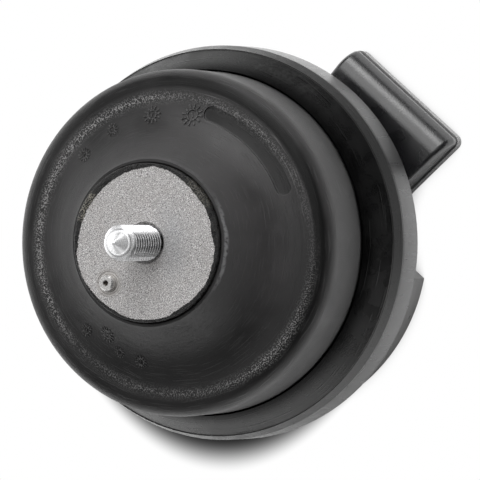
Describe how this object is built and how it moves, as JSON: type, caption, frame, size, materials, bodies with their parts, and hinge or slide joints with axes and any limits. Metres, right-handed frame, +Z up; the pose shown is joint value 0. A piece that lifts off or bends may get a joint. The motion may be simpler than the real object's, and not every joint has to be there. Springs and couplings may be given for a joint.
{
  "type": "engine mount",
  "caption": "Round hydraulic engine mount: rubber bell on a metal core with a threaded stud, a wider drum behind it, and a base plate whose tab carries a rubber buffer.",
  "frame": {"origin": "centre of the base thread's mouth, on the mount's axis in the plane that the base plate stands on", "axes": "+Z up along the stud, +X towards the tab with the buffer, +Y completes the right-handed frame"},
  "size_m": [0.1215, 0.1146, 0.1],
  "materials": {
    "core_metal": "shot-blasted casting",
    "zinc_plating": "bright zinc",
    "plain_steel": "plain",
    "bell_rubber": "satin moulded",
    "jacket_rubber": "smooth moulded",
    "buffer_rubber": "satin moulded",
    "membrane_rubber": "smooth",
    "nozzle_aluminium": "die cast",
    "black_paint": "satin black"
  },
  "bodies": {
    "root": {"core": "core_metal", "stud": "zinc_plating", "locating_pin": "zinc_plating", "fill_ball": "plain_steel", "main_spring": "bell_rubber", "spring_ring": "plain_steel", "crimp_ring": "plain_steel", "jacket": "jacket_rubber", "upper_nozzle_plate": "nozzle_aluminium", "decoupler": "membrane_rubber", "lower_nozzle_plate": "nozzle_aluminium", "nozzle_rivets": "nozzle_aluminium", "bellows": "membrane_rubber", "bellows_ring": "plain_steel", "lower_cup": "black_paint", "base_plate": "black_paint", "base_bush": "plain_steel", "base_rivets": "plain_steel", "buffer": "buffer_rubber"}
  },
  "joints": []
}
